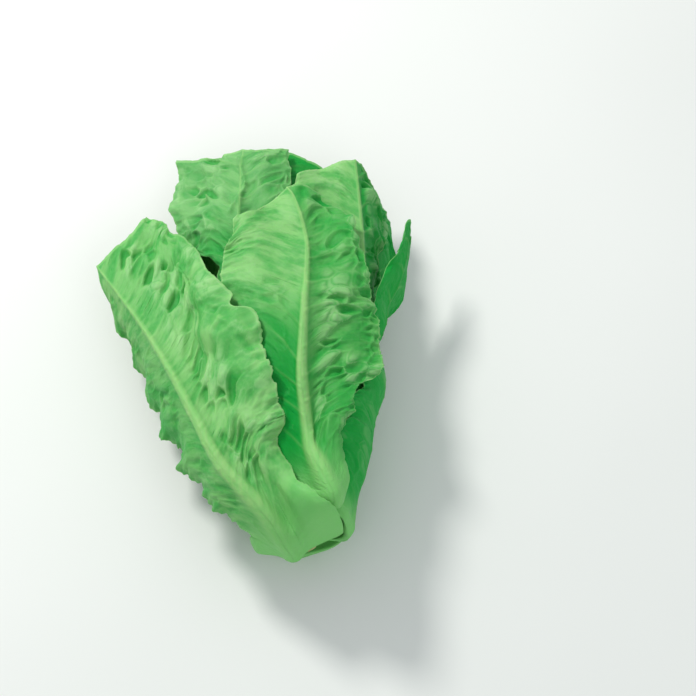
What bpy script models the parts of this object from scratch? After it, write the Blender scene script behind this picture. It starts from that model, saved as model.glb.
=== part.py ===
"""A head of romaine lettuce, cut and lying on its side on a flat surface.

The head is a short cut stem with leaves round it. Every leaf is its own thin solid with a thick
midrib on its outer face. The small leaves of the heart follow a rule; each large leaf is described
by the line of its rib, its half widths and how its two halves fold and curl.
The leaves are laid from the stem outwards, and each one rests on those already there.

Sizes are in millimetres and angles in degrees. +Y runs from the cut butt to the leaf tips, +Z is up,
and the origin is the middle of the flat spot on which the head lies.
"""

import math
from collections import namedtuple

import bpy
import numpy as np

MM = 0.001

BUTT_Y = -100.0
AXIS_HEIGHT = 46.0
STEM_RADIUS = 13.0
STEM_LENGTH = 78.0
STEM_SIDES = 16
STEM_TAPER = 0.62

BLADE_THICKNESS = 0.9
LAYER_GAP = 1.8
HEART_GAP = 1.4
UNDERSIDE_GAP = 5.5
PAST_BUTT = 2.5

HEART_LEAVES = 5
GOLDEN_TURN = 137.5

# Places across a half blade, from the rib (0) to the margin (1), where the solid has a line of points.
LARGE_COLUMNS = (0.0, 0.1, 0.27, 0.5, 0.76, 1.0)
SMALL_COLUMNS = (0.0, 0.15, 0.42, 0.7, 1.0)
LARGE_ROWS = 21
SMALL_ROWS = 12

# The finer grid on which the leaves are laid over each other.
LAY_ROWS = 150
LAY_COLUMNS = 101
EVENING = (4, 8)

TOOTH_DEPTH = 0.035
TEETH = 17

# How strongly a leaf's base turns to face the butt, over which share of its length it does so, and
# over which shares the waves of its margin rise.
BASE_TURN = 1.2
BASE_TURN_END = 0.09
WAVES_FROM = 0.12
WAVES_RISE = 0.3

# The midrib's height and width at the tip, as shares of those at the base.
TIP_RIB_HEIGHT = 0.12
TIP_RIB_WIDTH = 0.16

Leaf = namedtuple(
    "Leaf",
    "name rib face left right fold_left bend_left fold_right bend_right"
    " blunt ruffle waves phase rib_height rib_width pile gap slant",
    defaults=(0.0,),
)


def through(values, s):
    """A smooth curve through evenly spaced values, read at s from 0 to 1."""
    values = np.asarray(values, float)
    last = len(values) - 1
    x = np.clip(s, 0.0, 1.0) * last
    i = np.minimum(x.astype(int), last - 1)
    f = x - i
    before, after = 2 * values[:1] - values[1:2], 2 * values[-1:] - values[-2:-1]
    padded = np.concatenate([before, values, after])
    a, b, c, d = (padded[i + k] for k in range(4))
    if values.ndim > 1:
        f = f[..., None]
    return 0.5 * (2 * b + (c - a) * f + (2 * a - 5 * b + 4 * c - d) * f**2 + (3 * b - a - 3 * c + d) * f**3)


def unit(v):
    return v / np.linalg.norm(v, axis=-1, keepdims=True)


def rib_line(points, s):
    """Places and directions along the rib, with s in equal steps of length."""
    dense = through(points, np.linspace(0, 1, 400))
    run = np.concatenate([[0.0], np.cumsum(np.linalg.norm(np.diff(dense, axis=0), axis=1))])
    run /= run[-1]
    tangents = unit(np.gradient(dense, axis=0))
    place = np.stack([np.interp(s, run, dense[:, k]) for k in range(3)], axis=-1)
    along = unit(np.stack([np.interp(s, run, tangents[:, k]) for k in range(3)], axis=-1))
    return place, along


def half_section(u, fold, bend):
    """How far a half blade runs sideways and drops, per unit of its width, when it leaves the rib
    at the angle fold and turns by bend on its way to the margin."""
    start = np.radians(fold)
    turn = np.radians(np.where(np.abs(bend) < 0.5, 0.5, bend))
    end = start + turn * u
    return (np.sin(end) - np.sin(start)) / turn, (np.cos(start) - np.cos(end)) / turn, end


def tip_back(leaf, t):
    """How far short of the tip's foremost point the tip ends at t, as a share of the leaf: blunt tips
    fall back at their corners, or in the middle if negative, and slant ones at one side."""
    rounded = leaf.blunt * t**2 if leaf.blunt > 0 else -leaf.blunt * (1 - t**2)
    return rounded + abs(leaf.slant) * (1 - math.copysign(1, leaf.slant) * t) / 2


def blade(leaf, s, t):
    """The middle surface of a leaf at s along it and t across it, with t from -1 at the left margin
    to 1 at the right one, seen from outside; and how far each point is from the rib."""
    u = np.abs(t)
    on_rib = s - s**3 * tip_back(leaf, t)
    place, along = rib_line(leaf.rib, on_rib)
    face = np.radians(through(leaf.face, on_rib))
    to_butt = -BASE_TURN * np.exp(-((on_rib / BASE_TURN_END) ** 2))
    outward = np.stack([np.cos(face), to_butt, np.sin(face)], axis=-1)
    outward = unit(outward - np.sum(outward * along, axis=-1, keepdims=True) * along)
    across = np.cross(along, outward)
    is_left = t < 0
    width = np.where(is_left, through(leaf.left, s), through(leaf.right, s))
    tooth = np.sin(2 * math.pi * TEETH * s + leaf.phase + 2.0 * np.sin(9 * s + leaf.phase))
    width = width * (1 + TOOTH_DEPTH * tooth * u**6 * np.minimum(1.0, 4 * s))
    fold = np.where(is_left, through(leaf.fold_left, s), through(leaf.fold_right, s))
    bend = np.where(is_left, through(leaf.bend_left, s), through(leaf.bend_right, s))
    sideways, drop, angle = half_section(u, fold, bend)
    side = np.where(is_left, -1.0, 1.0)
    spread = (side * sideways * width)[..., None] * across
    normal = np.cos(angle)[..., None] * outward + (side * np.sin(angle))[..., None] * across
    rising = np.clip((s - WAVES_FROM) / WAVES_RISE, 0.0, 1.0)
    wave = np.sin(2 * math.pi * leaf.waves * s + leaf.phase + np.where(is_left, 1.9, 0.0))
    ruffle = leaf.ruffle * rising * u**2.5 * wave
    place = place + spread - (drop * width)[..., None] * outward + ruffle[..., None] * normal
    return place, width * u


def facing(place):
    """The outward direction at each point of a grid that runs along a leaf and from left to right."""
    return unit(np.cross(np.gradient(place, axis=1), np.gradient(place, axis=0)))


def rib_bulge(leaf, s, distance):
    """How far the midrib stands out of the blade's outer face at a distance from its line."""
    height = leaf.rib_height * (TIP_RIB_HEIGHT + (1 - TIP_RIB_HEIGHT) * (1 - s) ** 1.3)
    half_width = leaf.rib_width * (TIP_RIB_WIDTH + (1 - TIP_RIB_WIDTH) * (1 - s) ** 1.2)
    return height * np.exp(-((distance / half_width) ** 2))


def widest(grid, reaches, wrap=False):
    """Each cell's largest value within the reach along each axis, round the first one's seam if wrap."""
    for axis, reach in enumerate(reaches):
        mode = "wrap" if wrap and axis == 0 else "edge"
        pad = [(0, 0), (0, 0)]
        pad[axis] = (reach, reach)
        padded = np.pad(grid, pad, mode=mode)
        n = grid.shape[axis]
        grid = np.max([np.take(padded, range(k, k + n), axis=axis) for k in range(2 * reach + 1)], axis=0)
    return grid


def blurred(grid, reaches):
    """Each cell's mean within the reach along each axis."""
    for axis, reach in enumerate(reaches):
        pad = [(0, 0), (0, 0)]
        pad[axis] = (reach, reach)
        padded = np.pad(grid, pad, mode="edge")
        n = grid.shape[axis]
        grid = np.mean([np.take(padded, range(k, k + n), axis=axis) for k in range(2 * reach + 1)], axis=0)
    return grid


class Pile:
    """How far out the head reaches so far: by angle round its axis, or by height over the surface."""

    CELL = 2.0
    CELL_ANGLE = 2.5
    LOW_Y = BUTT_Y - 30.0
    LOW_X = -160.0

    def __init__(self, is_round):
        self.is_round = is_round
        columns = int(360 / self.CELL_ANGLE) if is_round else int(320 / self.CELL)
        self.reach = np.zeros((columns, int(380 / self.CELL)))

    def cells(self, p):
        x, y, z = p[..., 0], p[..., 1], p[..., 2]
        if self.is_round:
            angle = np.degrees(np.arctan2(z - AXIS_HEIGHT, x)) % 360
            return angle / self.CELL_ANGLE, (y - self.LOW_Y) / self.CELL, np.hypot(x, z - AXIS_HEIGHT)
        return (x - self.LOW_X) / self.CELL, (y - self.LOW_Y) / self.CELL, z

    def add(self, p):
        i, j, height = (v.ravel() for v in self.cells(p))
        i = np.rint(i).astype(int)
        i = i % self.reach.shape[0] if self.is_round else np.clip(i, 0, self.reach.shape[0] - 1)
        j = np.clip(np.rint(j).astype(int), 0, self.reach.shape[1] - 1)
        np.maximum.at(self.reach, (i, j), height)

    def lift(self, p, gap):
        """How much further out each of the points has to be, evened out over the leaf."""
        i, j, height = self.cells(p)
        full = widest(self.reach, (2, 1) if self.is_round else (1, 1), self.is_round)
        i = np.rint(i).astype(int)
        i = i % full.shape[0] if self.is_round else np.clip(i, 0, full.shape[0] - 1)
        j = np.clip(np.rint(j).astype(int), 0, full.shape[1] - 1)
        short = np.where(full[i, j] > 0, full[i, j] + gap + BLADE_THICKNESS / 2 - height, 0.0)
        past_butt = np.clip((BUTT_Y - p[..., 1]) / PAST_BUTT, 0.0, 1.0)
        return blurred(widest(np.maximum(short, 0.0), EVENING), EVENING) * (1 - past_butt)

    def outward(self, p):
        if not self.is_round:
            return np.broadcast_to([0.0, 0.0, 1.0], p.shape)
        flat = p - [0.0, 0.0, AXIS_HEIGHT]
        flat[..., 1] = 0.0
        return unit(flat)


def lay_grid():
    return np.meshgrid(np.linspace(0, 1, LAY_ROWS), np.linspace(-1, 1, LAY_COLUMNS), indexing="ij")


def read_grid(grid, s, t):
    """A value of the laying grid between its lines."""
    x, y = s * (LAY_ROWS - 1), (t + 1) / 2 * (LAY_COLUMNS - 1)
    i, j = np.minimum(x.astype(int), LAY_ROWS - 2), np.minimum(y.astype(int), LAY_COLUMNS - 2)
    fx, fy = x - i, y - j
    near = grid[i, j] * (1 - fy) + grid[i, j + 1] * fy
    far = grid[i + 1, j] * (1 - fy) + grid[i + 1, j + 1] * fy
    return near * (1 - fx) + far * fx


def lay(leaf, piles):
    """Rests a leaf on the pile, and returns how far each point of its laying grid was moved out."""
    s, t = lay_grid()
    place, distance = blade(leaf, s, t)
    pile = piles[leaf.pile]
    lift = pile.lift(place, leaf.gap)
    place = place + lift[..., None] * pile.outward(place)
    outside = place + (BLADE_THICKNESS / 2 + rib_bulge(leaf, s, distance))[..., None] * facing(place)
    for each in piles.values():
        each.add(outside)
        each.add(place)
    return lift


def leaf_faces(leaf, lift, piles, s, t):
    """The outer and inner faces of a leaf that has been laid, at s and t. What would reach below
    the surface on which the head lies is pressed flat on it."""
    place, distance = blade(leaf, s, t)
    place = place + read_grid(lift, s, t)[..., None] * piles[leaf.pile].outward(place)
    normal = facing(place)
    outer = place + (BLADE_THICKNESS / 2 + rib_bulge(leaf, s, distance))[..., None] * normal
    inner = place - BLADE_THICKNESS / 2 * normal
    sunk = np.maximum(0.0, -outer[..., 2])
    outer[..., 2] += sunk
    inner[..., 2] = np.maximum(inner[..., 2] + sunk, 0.0)
    return outer, inner


def skin_solid(outer, inner):
    """A closed solid between two grids of points. Both faces are split along the same diagonals."""
    rows, columns = outer.shape[:2]
    count = rows * columns
    triangles = []
    for r in range(rows - 1):
        for c in range(columns - 1):
            a, b = r * columns + c, r * columns + c + 1
            d, e = a + columns, b + columns
            for corner in ((a, b, e), (a, e, d)):
                triangles.append(corner)
                triangles.append(tuple(count + k for k in reversed(corner)))
    left = [r * columns for r in range(rows)]
    right = [r * columns + columns - 1 for r in range(rows)]
    rim = list(range(columns)) + right[1:] + list(range(count - 2, count - columns - 1, -1)) + left[-2:0:-1]
    for a, b in zip(rim, rim[1:] + rim[:1]):
        triangles.append((b, a, count + a))
        triangles.append((b, count + a, count + b))
    return np.concatenate([outer.reshape(-1, 3), inner.reshape(-1, 3)]), triangles


def add_object(name, points, faces, material):
    mesh = bpy.data.meshes.new(name)
    mesh.from_pydata([tuple(p) for p in np.asarray(points) * MM], [], faces)
    mesh.materials.append(material)
    mesh.shade_smooth()
    mesh.set_sharp_from_angle(angle=math.radians(50))
    mesh.validate()
    made = bpy.data.objects.new(name, mesh)
    bpy.context.scene.collection.objects.link(made)
    return made


def leaf_material(name, colour, roughness):
    material = bpy.data.materials.new(name)
    material.use_nodes = True
    shader = material.node_tree.nodes["Principled BSDF"]
    shader.inputs["Base Color"].default_value = (*colour, 1.0)
    shader.inputs["Roughness"].default_value = roughness
    shader.inputs["Metallic"].default_value = 0.0
    return material


def add_leaf(leaf, piles, material, columns, rows):
    lift = lay(leaf, piles)
    across = [-c for c in reversed(columns[1:])] + list(columns)
    s, t = np.meshgrid(np.linspace(0, 1, rows), across, indexing="ij")
    outer, inner = leaf_faces(leaf, lift, piles, s, t)
    return add_object(leaf.name, *skin_solid(outer, inner), material)


def stem_radius(along):
    """The stem's radius at a share of its length: a cut butt that tapers into the heart."""
    return STEM_RADIUS * (1 - STEM_TAPER * along**0.8)


def add_stem(piles, material):
    """The cut stem: a short tapering stalk, rounded at its inner end."""
    shares = (0.0, 0.04, 0.2, 0.4, 0.6, 0.8, 0.94, 1.0)
    radii = [stem_radius(k) for k in shares]
    radii[0] *= 0.93
    radii[-1] *= 0.55
    points, faces = [], []
    for share, radius in zip(shares, radii):
        for k in range(STEM_SIDES):
            angle = 2 * math.pi * k / STEM_SIDES
            y = BUTT_Y + share * STEM_LENGTH
            points.append((radius * math.cos(angle), y, AXIS_HEIGHT + radius * math.sin(angle)))
    for ring in range(len(shares) - 1):
        for k in range(STEM_SIDES):
            a, b = ring * STEM_SIDES + k, ring * STEM_SIDES + (k + 1) % STEM_SIDES
            faces.append((b, a, a + STEM_SIDES, b + STEM_SIDES))
    last = (len(shares) - 1) * STEM_SIDES
    faces.append(tuple(range(STEM_SIDES)))
    faces.append(tuple(reversed(range(last, last + STEM_SIDES))))
    share, angle = np.meshgrid(np.linspace(0, 1, 120), np.linspace(0, 2 * math.pi, 180))
    radius = stem_radius(share)
    y = BUTT_Y + share * STEM_LENGTH
    around = np.stack([radius * np.cos(angle), y, AXIS_HEIGHT + radius * np.sin(angle)], axis=-1)
    for pile in piles.values():
        pile.add(around)
    return add_object("stem", points, faces, material)


def heart_leaf(n):
    """One of the tight leaves of the heart, the innermost first, each a golden turn from the last."""
    angle = 20.0 + GOLDEN_TURN * n
    towards = math.cos(math.radians(angle)), math.sin(math.radians(angle))
    start, end = BUTT_Y + 60.0 - 8.0 * n, 62.0 + 15.0 * n
    reach = (7.0, 10.0 + 1.0 * n, 11.0 + 1.4 * n, 12.0 + 1.6 * n, 9.0 + 1.6 * n)
    ys = np.linspace(start, end, len(reach))
    rib = [(r * towards[0], y, AXIS_HEIGHT + r * towards[1]) for r, y in zip(reach, ys)]
    size = 0.76 + 0.07 * n
    width = [w * size for w in (9, 20, 29, 33, 29, 24)]
    curl = [66, 84, 92, 92, 84, 70]
    return Leaf(
        f"heart_leaf_{n + 1}", rib, [angle, angle], width, width, [4, 4], curl, [4, 4], curl,
        0.12, 1.2, 4.0, 1.3 * n, 1.6, 6.0, "round", HEART_GAP,
    )


def large_leaves():
    """The large leaves, in the order in which they lie from the heart outwards."""
    return [
        Leaf(
            "side_leaf_left",
            [(-12, -95, 43), (-21, -68, 45), (-27, -15, 46), (-32, 45, 46), (-42, 100, 42), (-52, 142, 38)],
            [182, 180, 174, 168, 162, 158],
            [16, 24, 30, 33, 30, 25], [16, 26, 36, 40, 36, 30],
            [6, 6], [76, 72, 70, 62, 48, 36], [6, 6], [76, 70, 62, 50, 34, 24],
            0.1, 2.5, 5.5, 0.6, 3.0, 8.0, "round", LAYER_GAP,
        ),
        Leaf(
            "under_leaf_right",
            [(9, -95, 36), (15, -68, 30), (19, -18, 26), (23, 40, 24), (35, 96, 25), (50, 140, 27)],
            [312, 312, 313, 316, 322, 328],
            [15, 26, 38, 42, 36, 30], [15, 25, 32, 34, 30, 25],
            [6, 6], [76, 70, 62, 50, 34, 22], [6, 6], [76, 74, 72, 66, 50, 34],
            0.1, 2.0, 6.0, 2.1, 2.4, 8.0, "round", LAYER_GAP,
        ),
        Leaf(
            "side_leaf_right",
            [(11, -91, 38), (20, -66, 39), (28, -14, 41), (46, 44, 40), (70, 100, 37), (78, 154, 32)],
            [326, 342, 364, 384, 396, 402],
            [15, 26, 36, 40, 34, 29], [15, 26, 36, 38, 34, 28],
            [6, 6], [70, 62, 50, 36, 22, 14], [6, 6], [74, 72, 68, 56, 36, 20],
            0.1, 3.5, 6.0, 3.4, 2.6, 8.0, "round", LAYER_GAP,
        ),
        Leaf(
            "top_leaf_middle",
            [(4, -78, 58), (5, -40, 66), (5, 10, 69), (5, 66, 69), (5, 128, 65), (5, 188, 56)],
            [92, 92, 92, 93, 94, 94],
            [10, 20, 32, 43, 45, 38], [10, 20, 32, 42, 44, 37],
            [6, 8], [52, 50, 40, 30, 26, 26], [6, 8], [52, 50, 44, 34, 26, 24],
            0.06, 4.5, 6.0, 1.2, 3.4, 8.0, "flat", LAYER_GAP,
        ),
        Leaf(
            "top_leaf_left",
            [(-6, -80, 57), (-10, -40, 65), (-14, 10, 68), (-18, 60, 69), (-20, 108, 68), (-17, 150, 63),
             (-10, 202, 49)],
            [98, 100, 102, 104, 104, 100],
            [11, 18, 22, 22, 55, 56], [11, 20, 28, 32, 36, 34],
            [8, 8, 8, 8, 8, 8], [54, 50, 44, 34, 24, 20], [8, 8, 14, 20, 26, 24], [46, 40, 30, 20, 12, 8],
            -0.03, 5.0, 6.5, 2.6, 3.2, 8.0, "flat", LAYER_GAP, -0.04,
        ),
        Leaf(
            "top_leaf_right",
            [(12, -78, 70), (25, -45, 71), (39, -5, 72), (54, 48, 70), (62, 108, 66), (64, 174, 56)],
            [86, 82, 77, 78, 84, 88],
            [11, 22, 36, 46, 48, 42], [10, 14, 18, 27, 33, 28],
            [4, 2], [40, 34, 24, 14, 10, 8], [10, 20, 30, 40, 44, 40], [54, 48, 44, 36, 30, 26],
            0.06, 3.5, 6.0, 0.2, 4.0, 9.0, "flat", LAYER_GAP,
        ),
        Leaf(
            "narrow_leaf_right",
            [(13, -90, 52), (22, -64, 54), (31, -14, 53), (58, 38, 51), (86, 82, 53), (97, 124, 56)],
            [32, 28, 22, 18, 18, 18],
            [12, 15, 17, 19, 18, 13], [12, 18, 22, 22, 18, 13],
            [4, 4], [60, 46, 34, 24, 14, 8], [4, 4], [60, 46, 34, 24, 14, 8],
            0.08, 1.8, 5.0, 1.0, 2.2, 6.0, "round", LAYER_GAP,
        ),
        Leaf(
            "outer_leaf_right",
            [(11, -92, 44), (19, -86, 45), (27, -72, 46), (33, -46, 47), (36, -14, 46), (38, 20, 44)],
            [6, 12, 20, 26, 30, 32],
            [18, 25, 26, 25, 22, 19], [18, 28, 33, 33, 27, 22],
            [6, 6], [66, 62, 56, 46, 34, 24], [6, 6], [70, 70, 66, 54, 38, 26],
            0.08, 2.0, 4.5, 4.4, 3.6, 9.0, "round", LAYER_GAP,
        ),
        Leaf(
            "under_leaf_left",
            [(-10, -96, 35), (-17, -72, 29), (-21, -20, 25), (-25, 38, 23), (-35, 92, 24), (-47, 136, 28)],
            [226, 226, 225, 222, 216, 210],
            [16, 24, 28, 29, 28, 24], [16, 27, 38, 42, 36, 30],
            [6, 6], [76, 74, 72, 66, 50, 34], [6, 6], [76, 70, 62, 50, 34, 20],
            0.1, 1.5, 6.0, 5.0, 2.6, 9.0, "round", LAYER_GAP,
        ),
        Leaf(
            "under_leaf_middle",
            [(0, -94, 30), (0, -82, 19), (0, -50, 6), (0, 20, 1), (0, 88, 4), (0, 144, 9)],
            [270, 270],
            [15, 23, 30, 32, 30, 25], [15, 23, 30, 32, 30, 25],
            [6, 5], [76, 68, 56, 46, 38, 30], [6, 5], [76, 68, 56, 46, 38, 30],
            0.1, 2.0, 5.5, 0.9, 2.0, 10.0, "round", UNDERSIDE_GAP,
        ),
        Leaf(
            "centre_leaf",
            [(23, -86, 60), (24, -80, 70), (20, -66, 80), (13, -40, 84), (12, 0, 86), (18, 46, 84),
             (24, 97, 78), (19, 134, 70), (12, 150, 63)],
            [76, 84, 90, 92, 94, 92],
            [18, 34, 50, 59, 59, 47], [18, 30, 54, 51, 38, 30],
            [18, 36, 42, 30, 12, 8], [46, 4, -14, -8, 4, 10],
            [20, 24, 20, 16, 14, 14], [46, 26, 4, 8, 16, 20],
            0.08, 3.5, 6.5, 2.2, 6.0, 11.0, "flat", LAYER_GAP,
        ),
        Leaf(
            "front_leaf",
            [(-2, -105, 49), (-9, -99.5, 68), (-23, -82, 83), (-44, -54, 88), (-59, -17, 85), (-74, 22, 78),
             (-93, 64, 67), (-127, 128, 47)],
            [90, 98, 104, 104, 104, 100],
            [20, 30, 43, 48, 40, 20], [16, 28, 49, 58, 70, 72, 72, 50],
            [14, 30, 36, 42, 50, 50], [50, 46, 36, 30, 24, 18], [4, 16, 18, 16, 14, 12], [20, 26, 4, 2, 4, 8],
            0.0, 4.5, 7.5, 0.4, 6.5, 12.0, "round", LAYER_GAP, 0.14,
        ),
    ]


def main():
    for old in list(bpy.data.objects):
        bpy.data.objects.remove(old)
    stem_green = leaf_material("stem_green", (0.62, 0.72, 0.36), 0.5)
    heart_green = leaf_material("heart_green", (0.52, 0.68, 0.22), 0.45)
    leaf_green = leaf_material("leaf_green", (0.16, 0.42, 0.10), 0.42)
    piles = {"round": Pile(True), "flat": Pile(False)}
    add_stem(piles, stem_green)
    for n in range(HEART_LEAVES):
        add_leaf(heart_leaf(n), piles, heart_green, SMALL_COLUMNS, SMALL_ROWS)
    for leaf in large_leaves():
        add_leaf(leaf, piles, leaf_green, LARGE_COLUMNS, LARGE_ROWS)


main()
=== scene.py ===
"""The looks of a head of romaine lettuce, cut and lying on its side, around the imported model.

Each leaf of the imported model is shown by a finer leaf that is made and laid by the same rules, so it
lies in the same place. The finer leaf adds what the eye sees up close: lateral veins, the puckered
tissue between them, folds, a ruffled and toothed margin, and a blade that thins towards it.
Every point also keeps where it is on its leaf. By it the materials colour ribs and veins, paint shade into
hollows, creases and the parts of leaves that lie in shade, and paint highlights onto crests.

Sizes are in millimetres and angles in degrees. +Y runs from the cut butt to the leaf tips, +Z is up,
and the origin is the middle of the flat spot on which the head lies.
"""

import math
from collections import namedtuple

import bpy
import numpy as np
from mathutils import Matrix, Vector


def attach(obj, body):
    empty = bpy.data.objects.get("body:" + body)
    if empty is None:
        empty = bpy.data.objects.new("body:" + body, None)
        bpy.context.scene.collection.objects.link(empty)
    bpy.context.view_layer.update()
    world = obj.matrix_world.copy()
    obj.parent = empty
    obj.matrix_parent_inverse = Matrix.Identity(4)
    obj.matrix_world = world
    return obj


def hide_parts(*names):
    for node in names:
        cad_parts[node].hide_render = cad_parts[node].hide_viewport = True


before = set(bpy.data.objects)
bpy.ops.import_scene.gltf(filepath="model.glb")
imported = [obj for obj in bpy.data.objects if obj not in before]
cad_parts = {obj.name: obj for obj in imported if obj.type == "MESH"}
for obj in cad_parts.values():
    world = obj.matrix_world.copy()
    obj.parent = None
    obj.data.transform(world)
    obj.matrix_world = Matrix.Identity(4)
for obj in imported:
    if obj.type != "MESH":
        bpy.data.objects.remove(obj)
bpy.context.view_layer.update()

MM = 0.001

# The stem: where its butt is, how high its axis lies, how thick it is at the butt, how long it is, and
# the share of its radius that it loses on its way into the heart.
BUTT_Y = -100.0
AXIS_HEIGHT = 46.0
STEM_RADIUS = 13.0
STEM_LENGTH = 78.0
STEM_TAPER = 0.62

# The blade's thickness, the room left under a leaf when it is laid on the others, and over how many
# millimetres past the butt a leaf stops being lifted.
BLADE_THICKNESS = 0.9
LAYER_GAP = 1.8
HEART_GAP = 1.4
UNDERSIDE_GAP = 5.5
PAST_BUTT = 2.5

HEART_LEAVES = 5
GOLDEN_TURN = 137.5

# The grid on which the leaves are laid over each other, how many of its lines along and across the
# lift is evened out over, and the steps in which a rib's length is measured.
LAY_ROWS = 150
LAY_COLUMNS = 101
EVENING = (4, 8)
RIB_STEPS = 400

# The margin's teeth while leaves are laid: how deep, as a share of the half blade, and how many.
TOOTH_DEPTH = 0.035
TEETH = 17

# How strongly a leaf's base turns to face the butt, over which share of its length it does so, and
# from which share on and over which share the waves of its margin rise.
BASE_TURN = 1.2
BASE_TURN_END = 0.09
WAVES_FROM = 0.12
WAVES_RISE = 0.3

# The midrib's height and width at the tip, as shares of those at the base, and the powers by which
# they fall off on the way.
TIP_RIB_HEIGHT = 0.12
TIP_RIB_WIDTH = 0.16
RIB_HEIGHT_FALL = 1.3
RIB_WIDTH_FALL = 1.2

# The shown midrib: a narrow ridge on a broad low one, as shares of the whole height.
BROAD_RIB = 0.4
NARROW_RIB = 0.6

# The photograph's camera: its angle, its distance, its scale where the head is, and the point it looks at.
CAMERA_ELEVATION = 66.0
CAMERA_AZIMUTH = -5.5
CAMERA_DISTANCE = 1500.0
MM_PER_PIXEL = 0.64
PICTURE_PIXELS = 696
SENSOR_MM = 36.0
CAMERA_TARGET = (43.249, 8.611, 109.980)

# The finer leaves: lines of points along and across the leaves that show, those mostly hidden and
# those of the heart, and how thin the blade gets at its margin.
SHOWN_GRID = (321, 141)
HIDDEN_GRID = (141, 65)
HEART_GRID = (101, 49)
MARGIN_THICKNESS = 0.5

# Lateral veins: how steeply they leave the rib at the leaf's base and tip, how far apart they are, how
# much they bend away towards the margin, how far they wander and over what size, how high they stand,
# how much longer a vein is than its way out from the rib, and how many creases follow each.
VEIN_SLOPE = (1.3, 0.8)
VEIN_GAP = 21.0
VEIN_BEND = 0.45
VEIN_DRIFT = 0.2
VEIN_DRIFT_SIZE = 70.0
VEIN_HEIGHT = 0.4
VEIN_RUN = 1.25
CREASES_BETWEEN = 4

# The blisters of the blade. along and across are a blister's size in the veins' direction and square to
# it; drift is how far their lines wander; start and seed set one kind apart from the other; raised is
# the random share above which a blister stands up instead of sinking, and up and down are how much its
# height then varies; ridge is how much the ridges round them vary, and height scales a whole blister.
# Its edge and the ridges' breadth are shares of it. The swell is a wider, softer rise and fall.
Blister = namedtuple("Blister", "along across drift start seed raised up down ridge height")
LONG_BLISTERS = Blister(20.0, 6.8, (0.25, 0.2), 3, 4, 0.66, 0.7, 1.6, 0.9, 1.8)
SMALL_BLISTERS = Blister(10.0, 6.8, (0.3, 0.3), 5, 5, 0.56, 0.65, 1.7, 0.7, 1.35)
BLISTER_EDGE = 0.5
RIDGE_BREADTH = 0.2
RIDGE_HEIGHT = 0.65
SWELL_HEIGHT = 1.6
SWELL_SIZE = 40.0

# Irregular cells: after how many they repeat, and the room that a cell's middle leaves at the cell's
# sides and the share of the cell over which it is drawn.
CELL_COUNT = 64
CELL_MARGIN = 0.1
CELL_SPREAD = 0.8

# The shown margin: how far apart its teeth are, over which shares of the leaf its lobes change from
# the base's depth to the tip's, and from which share of the leaf its corners are rounded off.
TOOTH_GAP = 5.0
LOBES_CHANGE = (0.35, 0.7)
CORNER_FROM = 0.86

# How a leaf looks. pucker is the height of its blisters left and right of the rib; lobes are, for
# each side, how far apart its margin's lobes are and how deep at the base and at the tip; teeth is how
# deep its teeth are, and corner how much of each side is rounded off at the tip; rib_share is the pale
# rib's width as a share of the solid's, from base to tip, and rib_tint how pale it is; frill is how
# much the margin ripples; cuts are torn places, each with its side, its place along the leaf, its half
# length and its share of the half blade, or a wider place if negative; creases are folds, each from
# one s and t to another, with its height and breadth; tone is how much painted shade deepens
# its green left and right of the rib, from base to tip, where the leaf lies in shade; calm is how much
# of the margin's waves is left out towards the tip on each side; blunt is how far the tip's middle is
# cut back, and even over how many lines along and across the laying grid the way the leaf rests on the
# others is evened out.
Look = namedtuple(
    "Look",
    "grid material pucker lobes teeth corner rib_share rib_tint frill cuts creases tone calm blunt even",
    defaults=(
        SHOWN_GRID, "leaf_mid", (1.0, 1.0), ((22.0, 2.0, 2.0), (20.0, 2.0, 2.0)), 1.2, (0.03, 0.03),
        (0.6, 0.45, 0.5), 0.8, 1.0, (), (), ((0.0, 0.0), (0.0, 0.0)), (0.0, 0.0), 0.0, None,
    ),
)

# A leaf's shape. rib is the line it runs along, face the angle its rib's outer side looks to, and left
# and right its half widths; fold is the angle at which a half blade leaves the rib, and bend how far it
# turns on its way to the margin; all run from base to tip. blunt and slant shape the tip, ruffle, waves
# and phase the margin's waves. pile names the pile that it rests on, and gap is the room under it.
Leaf = namedtuple(
    "Leaf",
    "name rib face left right fold_left bend_left fold_right bend_right"
    " blunt ruffle waves phase rib_height rib_width pile gap slant",
    defaults=(0.0,),
)

# Colours as they look on a screen. A leaf's material takes two greens, a lighter and a deeper one. The third
# pair, the deepest, is partly the own darker green of the side leaves that use it and partly painted shade,
# as those leaves lie in shade.
LEAF_GREENS = {
    "leaf_light": ((116, 176, 106), (92, 162, 90)),
    "leaf_mid": ((130, 190, 113), (84, 168, 84)),
    "leaf_deep_and_shaded": ((40, 170, 70), (18, 160, 58)),
}
RIB_COLOUR = (150, 200, 122)
BASE_COLOUR = (122, 198, 110)
# The first of these two colours is painted shade, for hollows, creases, wrinkle grooves and leaf parts that
# lie in shade; the second is a painted highlight, for crests.
SHADE_COLOUR = (2, 148, 52)
HIGHLIGHT_COLOUR = (164, 208, 146)
MARGIN_COLOUR = (170, 212, 146)
HEART_GREENS = ((178, 212, 104), (150, 198, 84))
HEART_CREAM = (200, 218, 150)
# Painted shade for the heart leaves' hollows, creases and wrinkle grooves.
HEART_SHADE = (96, 160, 60)
STEM_COLOURS = ((206, 214, 150), (178, 196, 118))
STEM_BROWN = (170, 120, 70)
FLOOR_COLOURS = ((234, 236, 232), (231, 233, 229))

# The sky's colour as the shader takes it, and its strength; how far the floor reaches and where the
# lights are turned to, in metres.
SKY_COLOUR = (0.93, 0.97, 1.0, 1.0)
SKY_STRENGTH = 0.62
FLOOR_REACH = 6.0
LIGHTS_AIM = (0.0, 0.03, 0.05)

# The shown stem: points round it, rings over its butt and along it, and how far the butt is hollowed.
STEM_SIDES = 72
BUTT_RINGS = 10
STEM_RINGS = 24
BUTT_HOLLOW = 1.2


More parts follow.
